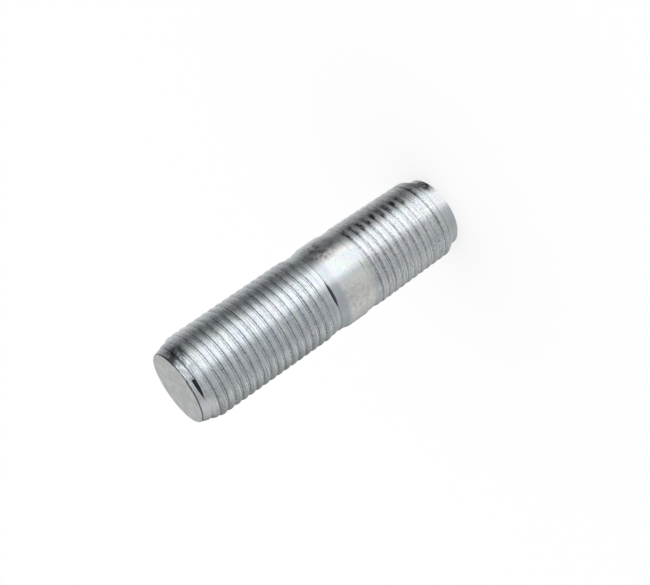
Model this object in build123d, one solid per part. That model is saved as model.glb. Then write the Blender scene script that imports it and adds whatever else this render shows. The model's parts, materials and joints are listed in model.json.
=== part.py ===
from build123d import *

import math
import os

# Stud bolt, M16 x 1.5, rolled from one bar of steel, threaded at both ends.
# It stands on its pilot point at z = 0: the short tap end is at the bottom,
# then a plain collar, then the long nut end. Millimetres throughout.

# Thread form, the same on both ends
pitch = 1.5
crest_diameter = 15.75
thread_depth = 0.795
root_flat = 0.25
flank_angle = 30.0             # of each flank, from square to the axis
left_hand = False

# Tap end, from the pilot's face to the collar
tap_end_length = 22.15
tap_tip_crest_diameter = 15.2  # the rolled crests taper a little to the point
tap_lead_length = 1.65
tap_neck_length = 3.25
tap_neck_diameter = 15.42
pilot_diameter = 13.12
pilot_length = 1.2
pilot_edge = 0.25              # both legs of its chamfer

# Plain collar between the two threads
collar_length = 3.7
collar_diameter = 15.84

# Nut end, from the collar to the tip
nut_end_length = 31.35
nut_neck_length = 4.35
nut_neck_diameter = 15.2
nut_lead_length = 3.6
nut_tip_diameter = 13.4
nut_tip_edge = 0.1             # both legs of its chamfer

# Where round the axis each thread comes to its full depth
full_depth_angle = -90.0

# Heights of the features, added up from the pilot's face
tap_lead_top = pilot_length + tap_lead_length
collar_bottom = tap_end_length
collar_top = collar_bottom + collar_length
tap_full_depth = collar_bottom - tap_neck_length
nut_full_depth = collar_top + nut_neck_length
overall_length = collar_top + nut_end_length
nut_lead_bottom = overall_length - nut_lead_length

# The thread tool is open past the crests, where its turns must not meet
tool_radius = crest_diameter / 2 + 0.1 * pitch
root_radius = crest_diameter / 2 - thread_depth
root_half = root_flat / 2
tool_half = root_half + (tool_radius - root_radius) * math.tan(math.radians(flank_angle))
tool_shallow_radius = tool_radius - 0.1 * (tool_radius - root_radius)


def profile():
    """Half section of the bar before threading, from the axis outwards."""
    pilot_r = pilot_diameter / 2
    crest_r = crest_diameter / 2
    collar_r = collar_diameter / 2
    tip_r = nut_tip_diameter / 2
    tap_neck_middle = (tap_neck_diameter / 2, (tap_full_depth + collar_bottom) / 2)
    nut_neck_middle = (nut_neck_diameter / 2, (collar_top + nut_full_depth) / 2)
    with BuildSketch(Plane.XZ) as half:
        with BuildLine():
            Polyline(
                (0, 0),
                (pilot_r - pilot_edge, 0),
                (pilot_r, pilot_edge),
                (pilot_r, pilot_length),
                (tap_tip_crest_diameter / 2, tap_lead_top),
                (crest_r, tap_full_depth),
            )
            ThreePointArc((crest_r, tap_full_depth), tap_neck_middle, (collar_r, collar_bottom))
            Line((collar_r, collar_bottom), (collar_r, collar_top))
            ThreePointArc((collar_r, collar_top), nut_neck_middle, (crest_r, nut_full_depth))
            Polyline(
                (crest_r, nut_full_depth),
                (crest_r, nut_lead_bottom),
                (tip_r, overall_length - nut_tip_edge),
                (tip_r - nut_tip_edge, overall_length),
                (0, overall_length),
                (0, 0),
            )
        make_face()
    return half.sketch


def helix(bottom_radius, top_radius, bottom, rise):
    """One edge of the thread tool, climbing rise at the thread's pitch from angle 0."""
    slope = math.atan2(top_radius - bottom_radius, rise)
    return Edge.make_helix(
        pitch / math.cos(slope),
        rise,
        bottom_radius,
        center=(0, 0, bottom),
        angle=math.degrees(slope),
        lefthand=left_hand,
    )


def tool_stretch(bottom, rise, bottom_root, top_root):
    """Root, flanks and open side of the tool along one stretch of its helix."""
    root = [helix(bottom_root, top_root, bottom + s * root_half, rise) for s in (-1, 1)]
    outer = [helix(tool_radius, tool_radius, bottom + s * tool_half, rise) for s in (-1, 1)]
    sides = [root[0], root[1], outer[1], outer[0]]
    faces = [Face.make_surface_from_curves(sides[i - 1], sides[i]) for i in range(4)]
    return [turned_to(bottom) * face for face in faces]


def turned_to(height):
    """Turn about the axis that the helix makes from z = 0 to a height."""
    angle = 360 * height / pitch
    return Rot(0, 0, -angle if left_hand else angle)


def tool_end(height, end_root):
    """The tool's flat end, in the half plane where the helix passes a height."""
    corners = [
        (end_root, 0, height - root_half),
        (end_root, 0, height + root_half),
        (tool_radius, 0, height + tool_half),
        (tool_radius, 0, height - tool_half),
    ]
    return turned_to(height) * Face(Wire.make_polygon(corners))


def tool_run_out(length):
    """The tool's stretches below z = 0, each a turn or less, with roots that fade outwards."""
    count = math.ceil(length / pitch)
    heights = [-length * (count - i) / count for i in range(count + 1)]
    roots = [root_radius - (tool_shallow_radius - root_radius) * h / length for h in heights]
    faces = [tool_end(-length, tool_shallow_radius)]
    for i in range(count):
        faces += tool_stretch(heights[i], length / count, roots[i], roots[i + 1])
    return faces


def thread_tool(full_length, run_out_length):
    """Helical groove tool: full depth from z = 0 up, and fading out below it."""
    faces = tool_run_out(run_out_length)
    turns = math.ceil(full_length / pitch) + 1
    for turn in range(turns):
        faces += tool_stretch(turn * pitch, pitch, root_radius, root_radius)
    faces.append(tool_end(turns * pitch, root_radius))
    return Solid(Shell(faces))


def stud_bolt():
    """The finished stud, its two threads cut into the bar."""
    bar = revolve(profile(), axis=Axis.Z)
    nut_tool = thread_tool(overall_length - nut_full_depth, nut_neck_length)
    tap_tool = thread_tool(tap_full_depth, tap_neck_length)
    nut_place = Pos(0, 0, nut_full_depth) * Rot(0, 0, full_depth_angle)
    tap_place = Pos(0, 0, tap_full_depth) * Rot(0, 0, full_depth_angle) * Rot(180, 0, 0)
    return bar - nut_place * nut_tool - tap_place * tap_tool


os.makedirs("parts", exist_ok=True)
export_step(stud_bolt(), "parts/stud_bolt.step")
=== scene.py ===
import json
import math

import bmesh
import bpy
import numpy as np
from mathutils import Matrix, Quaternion, Vector


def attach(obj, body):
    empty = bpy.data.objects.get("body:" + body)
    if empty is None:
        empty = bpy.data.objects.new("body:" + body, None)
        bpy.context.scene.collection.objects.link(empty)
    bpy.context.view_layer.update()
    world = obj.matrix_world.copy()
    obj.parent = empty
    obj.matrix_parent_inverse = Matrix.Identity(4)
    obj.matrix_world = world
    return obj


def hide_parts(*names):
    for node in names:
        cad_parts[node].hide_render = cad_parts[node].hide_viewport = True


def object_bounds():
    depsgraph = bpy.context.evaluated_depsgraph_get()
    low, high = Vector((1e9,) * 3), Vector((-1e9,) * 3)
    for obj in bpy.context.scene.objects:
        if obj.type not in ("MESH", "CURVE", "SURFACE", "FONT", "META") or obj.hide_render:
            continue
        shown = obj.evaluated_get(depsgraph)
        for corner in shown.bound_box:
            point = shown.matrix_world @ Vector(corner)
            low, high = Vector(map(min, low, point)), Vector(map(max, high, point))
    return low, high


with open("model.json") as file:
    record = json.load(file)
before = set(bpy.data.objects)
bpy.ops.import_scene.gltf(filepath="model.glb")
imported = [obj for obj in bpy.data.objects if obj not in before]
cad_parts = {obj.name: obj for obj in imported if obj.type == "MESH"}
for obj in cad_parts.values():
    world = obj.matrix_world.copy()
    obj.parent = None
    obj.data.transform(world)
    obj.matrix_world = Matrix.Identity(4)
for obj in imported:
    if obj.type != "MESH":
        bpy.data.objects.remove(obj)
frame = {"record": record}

cad_low, cad_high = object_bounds()

# The stud stands on its pilot point, and its forms are worked out in
# millimetres. Its heights come from the frame: nut_full and tap_full are
# where each thread reaches its full depth.
MM = 0.001
mounts = {mount["name"]: mount for mount in frame["record"]["mounts"]}


def length(name):
    return mounts[name]["dims"]["length_mm"]


def height(name):
    return mounts[name]["pos_m"][2] / MM


overall_length = cad_high.z / MM
collar_bottom = height("collar") - length("collar") / 2
collar_top = height("collar") + length("collar") / 2
nut_full = overall_length - length("nut_thread")
pilot_top = height("tap_thread")
tap_full = pilot_top + length("tap_thread")
collar_r = mounts["collar"]["dims"]["r_mm"]
crest_r = mounts["nut_thread"]["dims"]["r_mm"]

# Bar under the threads
pilot_r = 6.56
pilot_edge = 0.25
tap_lead_top = 2.85
tap_tip_r = 7.6
tap_neck_r = 7.71
nut_neck_r = 7.6
nut_lead_bottom = overall_length - 3.6
nut_tip_r = 6.7
nut_tip_edge = 0.1

# Thread form, M16 x 1.5, as rolled and plated: broad ridges with rounded
# backs, and grooves that the zinc has partly filled
pitch = 1.5
hand = 1                # right-handed
root_r = 7.4
root_half = 0.1
flank_slope = 2.0
ridge_drop = 0.11
ridge_half = 0.45
full_depth_angle = math.radians(-90)
edge_round = 0.02

# Each groove climbs past the collar's radius where it runs out, and is only
# this deep on the nut end's lead
run_out_rise = 0.2
lead_groove_depth = 0.25
lead_groove_reach = 0.7
no_groove_r = 2 * collar_r

# One turn of the tap thread that the zinc has nearly filled
filled_turn = 5.4
filled_reach = 1.0
filled_rise = 0.4

# Step and gap where the nut thread starts. Like the marks below, they are
# placed in degrees round the stud from its -Y side.
step_from_tip = 1.4
step_depth = 0.12
step_fades_over = 70
gap_from_tip = 1.2
gap_half = 0.28
gap_depth = 0.45
gap_end_side = -38
gap_grows_over = 30

# Creases beside the collar: the nut side has a line and a crescent, and the
# tap side has a line with two deeper places
nut_crease = 27.95
tap_crease = 20.62
crease_half = 0.09
nut_crease_depth = 0.07
tap_crease_depth = 0.04
tap_crease_deeper = ((-20, 20, 0.12), (33, 8, 0.08))
crescent = 28.0
crescent_half = 0.22
crescent_depth = 0.3
crescent_side = -15
crescent_reach = 16

# Grid of the mesh: columns round the bar, and rows in each pitch, counted
# from the root, which follow the helix and crowd together at its edges
columns = 160
pitch_rows = (
    0, 0.055, 0.085, 0.18, 0.215, 0.26, 0.34, 0.42, 0.5, 0.58, 0.66, 0.74, 0.785, 0.82, 0.915, 0.945,
)
pilot_rows = (0, 0.06, 0.12, 0.19, pilot_edge, 0.4, 0.8, pilot_top)
collar_rows = 12
weld = 2e-6


def neck(z, bottom, bottom_r, middle_r, top, top_r):
    """Radius along a shallow waist between two heights."""
    t = np.clip((z - bottom) / (top - bottom), 0, 1)
    waist = (bottom_r + top_r) / 2 - middle_r
    return bottom_r * (1 - t) + top_r * t - 4 * waist * t * (1 - t)


def bar_radius(z):
    """Radius of the bar at height z before threading."""
    profile = (
        (0, pilot_r - pilot_edge),
        (pilot_edge, pilot_r),
        (pilot_top, pilot_r),
        (tap_lead_top, tap_tip_r),
        (tap_full, crest_r),
        (nut_lead_bottom, crest_r),
        (overall_length - nut_tip_edge, nut_tip_r),
        (overall_length, nut_tip_r - nut_tip_edge),
    )
    radius = np.interp(z, *zip(*profile))
    tap_neck = neck(z, tap_full, crest_r, tap_neck_r, collar_bottom, collar_r)
    nut_neck = neck(z, collar_top, collar_r, nut_neck_r, nut_full, crest_r)
    radius = np.where((z > tap_full) & (z <= collar_bottom), tap_neck, radius)
    radius = np.where((z > collar_bottom) & (z < collar_top), collar_r, radius)
    return np.where((z >= collar_top) & (z < nut_full), nut_neck, radius)


def side(theta):
    """Degrees round the stud from its -Y side, where the threads come to full depth."""
    return (np.degrees(theta - full_depth_angle) + 180) % 360 - 180


def bump(value, middle, width):
    return np.exp(-(((value - middle) / width) ** 2))


def groove_radius(theta, z, full, collar_edge):
    """Radius of one thread's groove, and how far its ridges are rounded off."""
    turns = (z - full) / pitch - hand * (theta - full_depth_angle) / (2 * math.pi)
    off_root = np.abs(turns - np.round(turns)) * pitch
    fade = np.clip((z - full) / (collar_edge - full), 0, 1)
    bottom = root_r + fade * (collar_r + run_out_rise - root_r)
    on_lead = np.clip((overall_length - z) / lead_groove_reach, 0, 1) * lead_groove_depth
    bottom = np.minimum(bottom, bar_radius(z) - on_lead + (z < nut_lead_bottom))
    bottom = bottom + filled_rise * bump(z, filled_turn, filled_reach)
    plain_ends = np.clip(overall_length - z - 1, 0, 1) * np.clip(z - tap_lead_top, 0, 1)
    off_crest = pitch / 2 - off_root
    rounding = ridge_drop * (off_crest / ridge_half) ** 2 * (1 - fade) * plain_ends
    return bottom + np.maximum(off_root - root_half, 0) * flank_slope, rounding


def dents(theta, z):
    """Depth of the step where the nut thread starts, and of the creases beside the collar."""
    around = side(theta)
    from_tip = overall_length - z
    step = (around < -1) * (from_tip < step_from_tip) * step_depth
    step = step * np.clip(1 + around / step_fades_over, 0, 1)
    gap = (around < -2) * bump(from_tip, gap_from_tip, gap_half) * gap_depth
    gap = gap * np.clip((around - gap_end_side) / gap_grows_over, 0, 1)
    nut_line = bump(z, nut_crease, crease_half) * nut_crease_depth
    bow = bump(around, crescent_side, crescent_reach) * bump(z, crescent, crescent_half) * crescent_depth
    deeper = sum(depth * bump(around, middle, reach) for middle, reach, depth in tap_crease_deeper)
    tap_line = bump(z, tap_crease, crease_half) * (tap_crease_depth + deeper)
    return step + gap + nut_line + bow + tap_line


def surface_radius(theta, z):
    """Radius of the threaded bar, with slightly rounded edges."""
    nut_groove, nut_rounding = groove_radius(theta, z, nut_full, collar_top)
    tap_groove, tap_rounding = groove_radius(theta, z, tap_full, collar_bottom)
    bar = bar_radius(z) - nut_rounding - tap_rounding
    nut_groove = np.where(z < collar_top, no_groove_r, nut_groove)
    tap_groove = np.where(z > collar_bottom, no_groove_r, tap_groove)
    radii = [bar, nut_groove, tap_groove]
    least = np.minimum.reduce(radii)
    total = sum(np.exp(-(radius - least) / edge_round) for radius in radii)
    return least - edge_round * np.log(total) / 2 - dents(theta, z)


def helical_rows(bottom, top, full):
    """Heights of a grid that climbs one pitch in each turn, cut off at two heights."""
    turns = math.ceil((top - bottom) / pitch) + 1
    root = full - hand * pitch * full_depth_angle / (2 * math.pi)
    start = root - math.ceil((root - bottom) / pitch + max(hand, 0)) * pitch
    base = np.array([start + (turn + row) * pitch for turn in range(turns + 1) for row in pitch_rows])
    climb = np.linspace(0, hand * pitch, columns + 1)
    return np.clip(base[:, None] + climb, bottom, top)


def level_rows(heights):
    """Heights of a grid of level rings."""
    return np.repeat(np.array(heights, float)[:, None], columns + 1, axis=1)


def add_grid(mesh, heights):
    theta = np.broadcast_to(np.linspace(0, 2 * math.pi, columns + 1), heights.shape)
    radius = surface_radius(theta, heights)
    points = np.stack([radius * np.cos(theta), radius * np.sin(theta), heights], axis=-1) * MM
    rows = [[mesh.verts.new(point) for point in row] for row in points]
    for low, high in zip(rows, rows[1:]):
        for j in range(columns):
            mesh.faces.new((low[j], low[j + 1], high[j + 1], high[j]))


def add_disc(mesh, z, radius, up):
    angles = np.linspace(0, 2 * math.pi, columns, endpoint=False)
    around = [radius * np.cos(angles), radius * np.sin(angles), np.full(columns, z)]
    rim = [mesh.verts.new(point) for point in np.stack(around, axis=-1) * MM]
    mesh.faces.new(rim if up else rim[::-1])


def stud_mesh():
    mesh = bmesh.new()
    add_grid(mesh, level_rows(pilot_rows))
    add_grid(mesh, helical_rows(pilot_top, collar_bottom, tap_full))
    add_grid(mesh, level_rows(np.linspace(collar_bottom, collar_top, collar_rows)))
    add_grid(mesh, helical_rows(collar_top, overall_length, nut_full))
    bmesh.ops.remove_doubles(mesh, verts=mesh.verts, dist=weld)
    add_disc(mesh, 0, pilot_r - pilot_edge, False)
    add_disc(mesh, overall_length, nut_tip_r - nut_tip_edge, True)
    data = bpy.data.meshes.new("threaded_stud")
    mesh.to_mesh(data)
    mesh.free()
    data.shade_smooth()
    return data


class Paint:
    """Short names for the nodes of one material, painted from the stud's own millimetres.

    Layers are placed by the height, the degrees round from the -Y side, the
    distance from the tip, the phase in the thread's turn, and three noises.
    """

    def __init__(self, name):
        self.material = bpy.data.materials.new(name)
        self.material.use_nodes = True
        self.tree = self.material.node_tree
        self.shader = self.tree.nodes["Principled BSDF"]
        coords = self.node("ShaderNodeTexCoord")
        self.place = self.vector("MULTIPLY", coords.outputs["Object"], (1 / MM, 1 / MM, 1 / MM))
        split = self.node("ShaderNodeSeparateXYZ")
        self.join(self.place, split.inputs[0])
        x, y, self.z = split.outputs
        self.from_tip = self.minus(overall_length, self.z)
        turn = self.times(self.minus(self.math("ARCTAN2", y, x), full_depth_angle), 1 / (2 * math.pi))
        self.around = self.times(turn, 360)
        middle = (collar_bottom + collar_top) / 2
        full = self.ramp(self.z, middle - 0.1, middle + 0.1, tap_full, nut_full)
        climb = self.times(self.minus(self.z, full), 1 / pitch)
        self.phase = self.math("FRACT", self.minus(climb, self.times(turn, hand)))
        self.off_crest = self.times(self.off(self.phase, 0.5), pitch)
        self.grain = self.noise(5.0, 4.0, stretch=(1, 1, 2.2))
        self.flecks = self.noise(3.4, 3.0, shift=(0, 11, 5))
        self.nicks = self.noise(6.0, 2.0, shift=(17, 2, 3))

    def node(self, kind, **settings):
        node = self.tree.nodes.new(kind)
        for key, value in settings.items():
            setattr(node, key, value)
        return node

    def join(self, source, socket):
        if hasattr(source, "links"):
            self.tree.links.new(source, socket)
        else:
            socket.default_value = source

    def vector(self, operation, first, second):
        node = self.node("ShaderNodeVectorMath", operation=operation)
        self.join(first, node.inputs[0])
        self.join(second, node.inputs[1])
        return node.outputs[0]

    def math(self, operation, first, second=0.0):
        node = self.node("ShaderNodeMath", operation=operation)
        self.join(first, node.inputs[0])
        self.join(second, node.inputs[1])
        return node.outputs[0]

    def minus(self, first, second):
        return self.math("SUBTRACT", first, second)

    def times(self, *factors):
        result = factors[0]
        for factor in factors[1:]:
            result = self.math("MULTIPLY", result, factor)
        return result

    def off(self, value, middle):
        """How far a value is from a middle, either way."""
        return self.math("ABSOLUTE", self.minus(value, middle))

    def ramp(self, value, low, high, to_low=0.0, to_high=1.0):
        """Smooth step of a value from low to high."""
        node = self.node("ShaderNodeMapRange", interpolation_type="SMOOTHSTEP")
        for socket, number in zip(node.inputs, (value, low, high, to_low, to_high)):
            self.join(number, socket)
        return node.outputs[0]

    def band(self, value, low, high, soft):
        """One between two limits, and zero outside them."""
        rise = self.ramp(value, low - soft, low + soft)
        return self.times(rise, self.ramp(value, high - soft, high + soft, 1.0, 0.0))

    def noise(self, scale, detail=3.0, stretch=(1, 1, 1), shift=(0, 0, 0)):
        """Noise with this many waves to the millimetre."""
        node = self.node("ShaderNodeTexNoise")
        place = self.vector("ADD", self.vector("MULTIPLY", self.place, stretch), shift)
        self.join(place, node.inputs["Vector"])
        self.join(scale, node.inputs["Scale"])
        self.join(detail, node.inputs["Detail"])
        return node.outputs[0]

    def near(self, degrees, radius, z, reach):
        """One near a point of the surface, fading out with distance."""
        angle = math.radians(degrees) + full_depth_angle
        point = (radius * math.cos(angle), radius * math.sin(angle), z)
        away = self.node("ShaderNodeVectorMath", operation="DISTANCE")
        self.join(self.place, away.inputs[0])
        self.join(point, away.inputs[1])
        return self.ramp(away.outputs["Value"], reach * 0.4, reach, 1.0, 0.0)

    def mix(self, amount, first, second):
        node = self.node("ShaderNodeMix", data_type="RGBA")
        colors = [socket for socket in node.inputs if socket.type == "RGBA"]
        self.join(amount, node.inputs["Factor"])
        for value, socket in zip((first, second), colors):
            self.join((*value, 1) if isinstance(value, tuple) else value, socket)
        return [socket for socket in node.outputs if socket.type == "RGBA"][0]

    def lay(self, color, *amounts):
        """Lay one color over the rest, where all the amounts are high."""
        self.color = self.mix(self.times(*amounts), self.color, color)


# Colors of the zinc, from its own tints to bright metal, and of painted reflections and highlights
BLUE_ZINC = (0.68, 0.78, 0.83)
LILAC_ZINC = (0.76, 0.76, 0.82)
GREEN_ZINC = (0.73, 0.81, 0.77)
NUT_END_ZINC = (0.58, 0.64, 0.69)
TAP_END_ZINC_AND_COLLAR_SHADE = (0.55, 0.56, 0.57)
NECK_ZINC = (0.45, 0.50, 0.55)
VALLEY_SHADE = (0.38, 0.41, 0.46)
PAINTED_COLLAR_REFLECTION = (0.97, 0.98, 0.95)
PAINTED_COLLAR_HIGHLIGHT = (1.0, 1.0, 0.98)
GRAIN_GLEAM = (0.93, 0.95, 0.97)
RING_AND_HIGHLIGHT_SILVER = (0.95, 0.97, 0.98)
LEDGE_HIGHLIGHT = (0.95, 0.97, 1.0)
ROOT_AND_FACET_HIGHLIGHT = (0.97, 0.98, 1.0)
WHITE = (1.0, 1.0, 1.0)

# Colors of dull metal, dirt, gaps and painted shade, from light to dark
FACE_LIGHT = (0.70, 0.71, 0.72)
FACE_DARK = (0.61, 0.63, 0.61)
MOTTLE_GREY = (0.40, 0.41, 0.42)
PIT_BROWN = (0.36, 0.35, 0.31)
GRAIN_GREY = (0.30, 0.32, 0.34)
RING_GREY = (0.30, 0.33, 0.35)
UNDERSIDE_SHADE = (0.28, 0.31, 0.28)
STREAK_AND_SHADE_GREY = (0.22, 0.23, 0.26)
GRIT_GREY = (0.20, 0.21, 0.23)
MOTTLE_BROWN = (0.20, 0.16, 0.16)
GROOVE_SHADE = (0.16, 0.17, 0.19)
ROOT_SHADE = (0.15, 0.16, 0.18)
NICK_GREY = (0.10, 0.11, 0.13)
RIM_SHADE = (0.10, 0.11, 0.11)
DARK_BAND_SHADE = (0.04, 0.05, 0.06)
BLACK = (0.02, 0.02, 0.03)


def lay_tints(paint):
    """Tints that drift between blue, green and lilac over a few millimetres, and darker zinc with
    painted shade toward the tap end.
    """
    drift = paint.ramp(paint.noise(0.45), 0.42, 0.58)
    paint.color = paint.mix(drift, BLUE_ZINC, LILAC_ZINC)
    paint.lay(GREEN_ZINC, paint.ramp(paint.noise(0.5, shift=(40, 0, 7)), 0.5, 0.62))
    paint.lay(NUT_END_ZINC, paint.ramp(paint.z, collar_top, collar_top + 0.8, 0.0, 0.35))
    # Darker toward the tap end: painted shade where the collar's highlight falls off, and darker zinc on
    # the tap thread
    paint.lay(TAP_END_ZINC_AND_COLLAR_SHADE, paint.ramp(paint.z, collar_top - 0.85, collar_bottom - 1.15), 0.3)
    paint.lay(GRAIN_GREY, paint.ramp(paint.grain, 0.54, 0.70, 0.0, 0.45))
    paint.lay(GRAIN_GLEAM, paint.ramp(paint.grain, 0.46, 0.30, 0.0, 0.7))


def lay_wear(paint, on_thread):
    """Nicks and grit, thickest along the grooves, and fine rings left by rolling."""
    worn = paint.times(on_thread, paint.ramp(paint.off_crest, 0.2, 0.5, 0.35, 1.0))
    paint.lay(WHITE, paint.ramp(paint.nicks, 0.60, 0.67), worn)
    paint.lay(NICK_GREY, paint.ramp(paint.nicks, 0.38, 0.31), worn, 0.7)
    grit = paint.noise(2.6, 2.0, stretch=(0.8, 0.8, 1.3), shift=(21, 4, 6))
    paint.lay(WHITE, paint.ramp(grit, 0.54, 0.66), worn, 0.5)
    paint.lay(GRIT_GREY, paint.ramp(grit, 0.46, 0.34), worn, 0.4)
    rings = paint.noise(1.0, 3.0, stretch=(0.3, 0.3, 4.0))
    paint.lay(RING_GREY, paint.ramp(rings, 0.52, 0.68, 0.0, 0.5), on_thread)
    paint.lay(RING_AND_HIGHLIGHT_SILVER, paint.ramp(rings, 0.46, 0.32, 0.0, 0.5), on_thread)


def lay_grooves(paint, on_thread):
    """Painted shade in the grooves as soft grey valleys and dark lines, broken painted highlights at the
    roots and on low ridge edges, and painted shade underneath and in the tap thread's dark band.
    """
    z, around, off_crest = paint.z, paint.around, paint.off_crest
    filled = paint.band(z, filled_turn - 0.9, filled_turn + 1.0, 0.4)
    here = paint.times(on_thread, paint.minus(1.0, filled))
    on_tap = paint.ramp(z, collar_bottom, collar_bottom - 1)
    on_nut = paint.ramp(z, collar_top, collar_top + 1)
    at_root = paint.ramp(off_crest, 0.64, 0.70)
    specks = paint.ramp(paint.nicks, 0.44, 0.54)
    broken = paint.ramp(paint.flecks, 0.38, 0.6, 0.0, 0.42)
    strength = paint.minus(1.0, paint.times(paint.band(around, -76, -22, 13), 0.65))

    # Painted shade: soft grey valleys between the ridges
    paint.lay(VALLEY_SHADE, paint.ramp(off_crest, 0.1, 0.5, 0.0, 0.16), here)
    # Painted shade in broken dark lines on the groove flanks, weaker on the lower side
    paint.lay(GROOVE_SHADE, paint.band(off_crest, 0.48, 0.60, 0.04), strength, broken, here)
    # Painted highlight in broken specks at the nut thread's roots
    paint.lay(ROOT_AND_FACET_HIGHLIGHT, at_root, on_nut, specks, here, 0.8)
    # Painted shade along the tap thread's roots
    paint.lay(ROOT_SHADE, at_root, on_tap, strength, here, broken)
    # Painted highlight in broken specks beside the tap thread's roots
    paint.lay(ROOT_AND_FACET_HIGHLIGHT, paint.band(paint.phase, 0.66, 0.88, 0.05), on_tap, specks, here, 0.7)
    # Painted highlight on the ridge edges on the lower side
    edge = paint.times(paint.band(paint.phase, 0.26, 0.44, 0.05), paint.band(around, -80, -38, 8))
    paint.lay(WHITE, edge, paint.ramp(paint.flecks, 0.42, 0.52), here)
    full_nut_thread = paint.band(z, nut_full + 1, overall_length - 2.6, 0.8)
    # Painted shade along the underside of the nut thread
    underside = paint.times(paint.band(around, -80, -62, 11), full_nut_thread)
    paint.lay(UNDERSIDE_SHADE, underside, paint.ramp(paint.flecks, 0.35, 0.6, 0.1, 0.5))
    # Painted shade in patches in the tap thread's grooves between 33 and 52 degrees round
    shade = paint.times(paint.band(around, 33, 52, 6), paint.ramp(z, collar_bottom, collar_bottom - 3))
    patches = paint.ramp(paint.noise(0.9, 4.0, shift=(2, 2, 30)), 0.4, 0.6, 0.25, 0.95)
    paint.lay(DARK_BAND_SHADE, paint.ramp(off_crest, 0.2, 0.45), shade, here, patches)


def lay_creases(paint):
    """Painted shade in the creases beside the collar, one of them a crescent, with a painted highlight
    beside it, and dark lines by the tap lead.
    """
    z, around = paint.z, paint.around
    # Painted shade in the nut side crease and in the crescent
    paint.lay(BLACK, paint.band(z, nut_crease - 0.05, nut_crease + 0.05, 0.05), 0.7)
    swell = paint.ramp(paint.off(around, crescent_side), 4, 24, 0.27, 0.0)
    inside = paint.ramp(paint.minus(paint.off(z, crescent), swell), -0.03, 0.05, 1.0, 0.0)
    paint.lay(BLACK, inside, paint.band(around, -33, 6, 4), 0.95)
    paint.lay(NECK_ZINC, paint.band(z, collar_top + 0.3, crescent, 0.3), 0.22)
    # Painted highlight in a line beside the crescent, and painted shade in a line past it
    paint.lay(RING_AND_HIGHLIGHT_SILVER, paint.band(z, crescent + 0.3, crescent + 0.45, 0.05), 0.4)
    paint.lay(BLACK, paint.band(z, crescent + 1.0, crescent + 1.1, 0.05), 0.4)
    # Painted shade in the tap side crease
    tap_line = paint.band(z, tap_crease - 0.08, tap_crease + 0.06, 0.05)
    paint.lay(BLACK, tap_line, paint.band(around, -42, 2, 5), 0.75)
    paint.lay(BLACK, tap_line, paint.band(around, 25, 40, 5), 0.75)
    lead_line = paint.band(z, tap_lead_top + 1.1, tap_lead_top + 1.23, 0.05)
    paint.lay(BLACK, lead_line, paint.ramp(paint.flecks, 0.35, 0.55, 0.3, 0.9))
    paint.lay(BLACK, paint.band(z, tap_lead_top - 0.1, tap_lead_top + 0.02, 0.06), 0.65)


def lay_start(paint):
    """Painted shadow in the gap and a painted highlight on the ledge where the nut thread starts, and on
    the lead painted shade in its grooves, streaks on its first turn, a painted highlight on one side and
    painted shade on the other.
    """
    around, from_tip = paint.around, paint.from_tip
    narrowing = paint.ramp(around, -42, -12, 0.0, 0.33)
    gap = paint.ramp(paint.minus(paint.off(from_tip, gap_from_tip), narrowing), -0.03, 0.04, 1.0, 0.0)
    # Painted shadow filling the gap
    paint.lay(BLACK, gap, paint.band(around, gap_end_side, -2, 1.5), 0.97)
    ledge = paint.band(from_tip, -1, step_from_tip, 0.05)
    # Painted highlight on the ledge of the step
    paint.lay(LEDGE_HIGHLIGHT, paint.band(around, -1.8, 0.2, 0.6), ledge, 0.8)
    # Painted shade in a line along the first groove, and along the roots of the next ones
    paint.lay(BLACK, paint.band(from_tip, 1.36, 1.52, 0.05), paint.band(around, -2, 70, 6), 0.95)
    paint.lay(BLACK, paint.ramp(paint.off_crest, 0.62, 0.70), paint.band(from_tip, 1.8, 3.4, 0.3), 0.6)
    streaks = paint.ramp(paint.noise(0.8, 4.0, stretch=(1, 1, 3.5), shift=(8, 0, 2)), 0.4, 0.56)
    first_turn = paint.times(paint.band(from_tip, 0, 2.6, 0.3), paint.band(around, 0, 45, 4))
    paint.lay(STREAK_AND_SHADE_GREY, streaks, first_turn, 0.6)
    on_lead = paint.band(from_tip, 0.05, 2.4, 0.3)
    # Painted highlight that makes the lead pale on its lower side
    paint.lay(ROOT_AND_FACET_HIGHLIGHT, on_lead, paint.band(around, -75, -34, 8), 0.65)
    # Painted shade on the lead between 55 and 90 degrees round
    paint.lay(STREAK_AND_SHADE_GREY, on_lead, paint.band(around, 55, 90, 6), 0.55)


def lay_painted_dark_patches(paint):
    """Painted shade in dark patches by the nut tip and on the pilot."""
    painted_dark_patch = paint.ramp(paint.noise(1.3, 4.0, shift=(5, 1, 9)), 0.38, 0.58)
    paint.lay(BLACK, painted_dark_patch, paint.near(43, nut_tip_r + 0.2, overall_length - 1.2, 2.6), 0.75)
    paint.lay(BLACK, painted_dark_patch, paint.near(46, pilot_r + 0.04, pilot_top, 2.2), 0.85)


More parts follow.
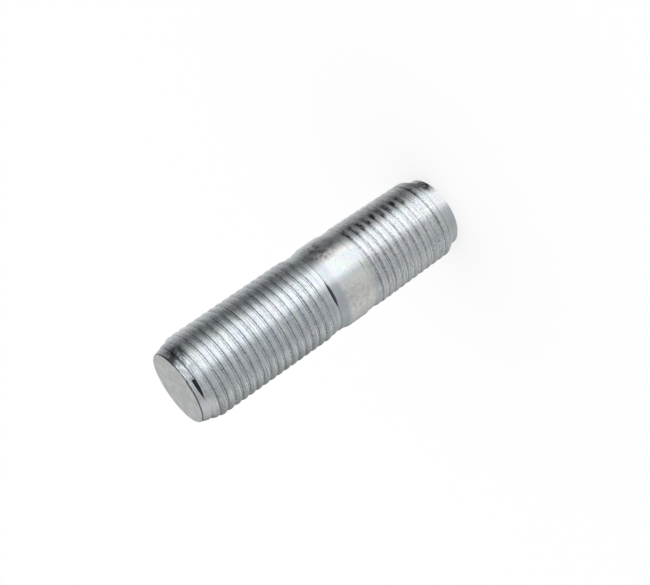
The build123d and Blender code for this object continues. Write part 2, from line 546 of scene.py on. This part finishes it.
def lay_collar(paint):
    """Painted reflection paling the collar's lower side, a painted highlight widening its bright band,
    brown mottles and a pitted patch.
    """
    on_collar = paint.band(paint.z, collar_bottom - 2, collar_top + 0.2, 0.6)
    # Painted reflection: paler collar on its lower side
    paint.lay(PAINTED_COLLAR_REFLECTION, on_collar, paint.band(paint.around, -78, -6, 8), 0.9)
    # Painted highlight widening the collar's bright band
    paint.lay(PAINTED_COLLAR_HIGHLIGHT, on_collar, paint.band(paint.around, 24, 38, 4), 0.8)
    mottle = paint.ramp(paint.noise(1.3, 5.0), 0.34, 0.66)
    paint.lay(MOTTLE_BROWN, mottle, paint.near(47, collar_r, collar_top - 1.05, 4.1), 0.75)
    pits = paint.ramp(paint.noise(1.5, 5.0, shift=(9, 3, 0)), 0.46, 0.68)
    paint.lay(PIT_BROWN, pits, paint.near(-42, collar_r, collar_bottom + 1.05, 5.0), 0.28)
    paint.lay(MOTTLE_GREY, mottle, paint.near(-22, collar_r, collar_top - 0.55, 2.4), 0.3)


def lay_end_face(paint, face):
    """Sheared end face of the nut end, flat and clouded, with painted shade on its rim."""
    # Painted shade on the rim
    rim = paint.band(paint.from_tip, 0.02, 0.24, 0.03)
    paint.lay(RIM_SHADE, rim, paint.ramp(paint.flecks, 0.3, 0.55, 0.65, 1.0))
    clouds = paint.ramp(paint.noise(0.8, 5.0, shift=(3, 5, 0)), 0.38, 0.62)
    paint.lay(paint.mix(clouds, FACE_DARK, FACE_LIGHT), face)


def zinc():
    """Bright zinc on rolled steel: mottled tints, thread lines, specks, and a matte end face, with
    painted shade and painted highlights.
    """
    paint = Paint("zinc")
    on_tap_thread = paint.band(paint.z, tap_lead_top, tap_full + 1, 0.3)
    on_nut_thread = paint.band(paint.z, nut_full - 0.8, overall_length - 1.3, 0.3)
    on_thread = paint.math("ADD", on_tap_thread, on_nut_thread)
    face = paint.ramp(paint.from_tip, 0.01, 0.03, 1.0, 0.0)

    lay_tints(paint)
    lay_wear(paint, on_thread)
    lay_grooves(paint, on_thread)
    lay_creases(paint)
    lay_start(paint)
    lay_painted_dark_patches(paint)
    lay_collar(paint)
    lay_end_face(paint, face)
    paint.join(paint.color, paint.shader.inputs["Base Color"])

    cloudy = paint.ramp(paint.noise(0.9, 4.0), 0.3, 0.7, 0.11, 0.2)
    grainy = paint.ramp(paint.grain, 0.35, 0.65, -0.02, 0.04)
    rough = paint.math("MAXIMUM", paint.math("ADD", cloudy, grainy), paint.times(face, 0.7))
    paint.join(rough, paint.shader.inputs["Roughness"])
    paint.join(1.0, paint.shader.inputs["Metallic"])

    relief = paint.node("ShaderNodeBump")
    paint.join(0.15, relief.inputs["Strength"])
    paint.join(0.06 * MM, relief.inputs["Distance"])
    paint.join(paint.math("ADD", paint.grain, paint.noise(1.6, 5.0)), relief.inputs["Height"])
    paint.join(relief.outputs["Normal"], paint.shader.inputs["Normal"])
    return paint.material


stud = bpy.data.objects.new("threaded_stud", stud_mesh())
bpy.context.scene.collection.objects.link(stud)
stud.data.materials.append(zinc())
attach(stud, "root")
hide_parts("stud_bolt")


def stage_floor():
    """White paper that glows for the camera, and keeps a faint shadow under the stud."""
    size = 6
    glow_share = 0.7
    bpy.ops.mesh.primitive_plane_add(size=size)
    floor = bpy.context.active_object
    floor.name = "floor"
    material = bpy.data.materials.new("paper")
    material.use_nodes = True
    nodes, links = material.node_tree.nodes, material.node_tree.links
    shader = nodes["Principled BSDF"]
    shader.inputs["Base Color"].default_value = (1, 1, 1, 1)
    shader.inputs["Roughness"].default_value = 1.0
    shader.inputs["Specular IOR Level"].default_value = 0.0
    glow = nodes.new("ShaderNodeEmission")
    path = nodes.new("ShaderNodeLightPath")
    share = nodes.new("ShaderNodeMath")
    share.operation = "MULTIPLY"
    share.inputs[1].default_value = glow_share
    links.new(path.outputs["Is Camera Ray"], share.inputs[0])
    mix = nodes.new("ShaderNodeMixShader")
    links.new(share.outputs[0], mix.inputs["Fac"])
    links.new(shader.outputs["BSDF"], mix.inputs[1])
    links.new(glow.outputs["Emission"], mix.inputs[2])
    links.new(mix.outputs["Shader"], nodes["Material Output"].inputs["Surface"])
    floor.data.materials.append(material)
    floor.visible_glossy = False


# Cards of the light tent: degrees round the stud that each lights, and how bright
BANDS = (
    (-90, 0.28), (-70, 0.44), (-50, 0.56), (-32, 0.48), (-6, 0.6), (4, 1.26), (23, 1.26),
    (34, 0.45), (44, 0.19), (53, 0.21), (62, 0.45), (76, 0.72), (90, 0.8),
)

# The cards are hung for a look at the stud along this direction
TENT_LOOK = (-0.0033, 0.9292, -0.3695)


def light_tent():
    """World of long cards that run along the stud, seen by its reflections."""
    world = bpy.data.worlds.new("tent")
    bpy.context.scene.world = world
    world.use_nodes = True
    nodes, links = world.node_tree.nodes, world.node_tree.links
    coords = nodes.new("ShaderNodeTexCoord")
    facing = nodes.new("ShaderNodeVectorMath")
    facing.operation = "SUBTRACT"
    facing.inputs[1].default_value = TENT_LOOK
    links.new(coords.outputs["Generated"], facing.inputs[0])
    split = nodes.new("ShaderNodeSeparateXYZ")
    links.new(facing.outputs[0], split.inputs[0])
    front = nodes.new("ShaderNodeMath")
    front.operation = "MULTIPLY"
    front.inputs[1].default_value = -1
    links.new(split.outputs["Y"], front.inputs[0])
    angle = nodes.new("ShaderNodeMath")
    angle.operation = "ARCTAN2"
    links.new(split.outputs["X"], angle.inputs[0])
    links.new(front.outputs[0], angle.inputs[1])
    place = nodes.new("ShaderNodeMapRange")
    place.inputs["From Min"].default_value = -math.pi / 2
    place.inputs["From Max"].default_value = math.pi / 2
    links.new(angle.outputs[0], place.inputs["Value"])
    ramp = nodes.new("ShaderNodeValToRGB")
    links.new(place.outputs["Result"], ramp.inputs["Fac"])
    stops = ramp.color_ramp.elements
    while len(stops) < len(BANDS):
        stops.new(0.5)
    for stop, (degrees, level) in zip(stops, BANDS):
        stop.position = degrees / 180 + 0.5
        stop.color = (level, level, level, 1)
    path = nodes.new("ShaderNodeLightPath")
    mix = nodes.new("ShaderNodeMix")
    mix.data_type = "RGBA"
    links.new(path.outputs["Is Glossy Ray"], mix.inputs["Factor"])
    mix.inputs["A"].default_value = (1, 1, 1, 1)
    links.new(ramp.outputs["Color"], mix.inputs["B"])
    links.new(mix.outputs["Result"], nodes["Background"].inputs["Color"])


def add_camera():
    """Camera above the stud's -Y side, rolled so that the nut end is low on the left."""
    aim = Vector((-0.86, -0.92, 26.35)) * MM
    azimuth, elevation, roll = math.radians(0.2), math.radians(21.69), math.radians(-124.8)
    distance = 257.5 * MM
    back = Vector((
        math.sin(azimuth) * math.cos(elevation),
        -math.cos(azimuth) * math.cos(elevation),
        math.sin(elevation),
    ))
    camera = bpy.data.objects.new("camera", bpy.data.cameras.new("camera"))
    camera.data.lens = 83.08
    camera.data.sensor_width = 36
    camera.data.clip_start = 0.01
    camera.location = aim + distance * back
    level = back.to_track_quat("Z", "Y")
    camera.rotation_mode = "QUATERNION"
    camera.rotation_quaternion = level @ Quaternion((0, 0, 1), roll)
    bpy.context.scene.collection.objects.link(camera)
    bpy.context.scene.camera = camera


stage_floor()
light_tent()
add_camera()
bpy.context.scene.view_settings.view_transform = "Standard"
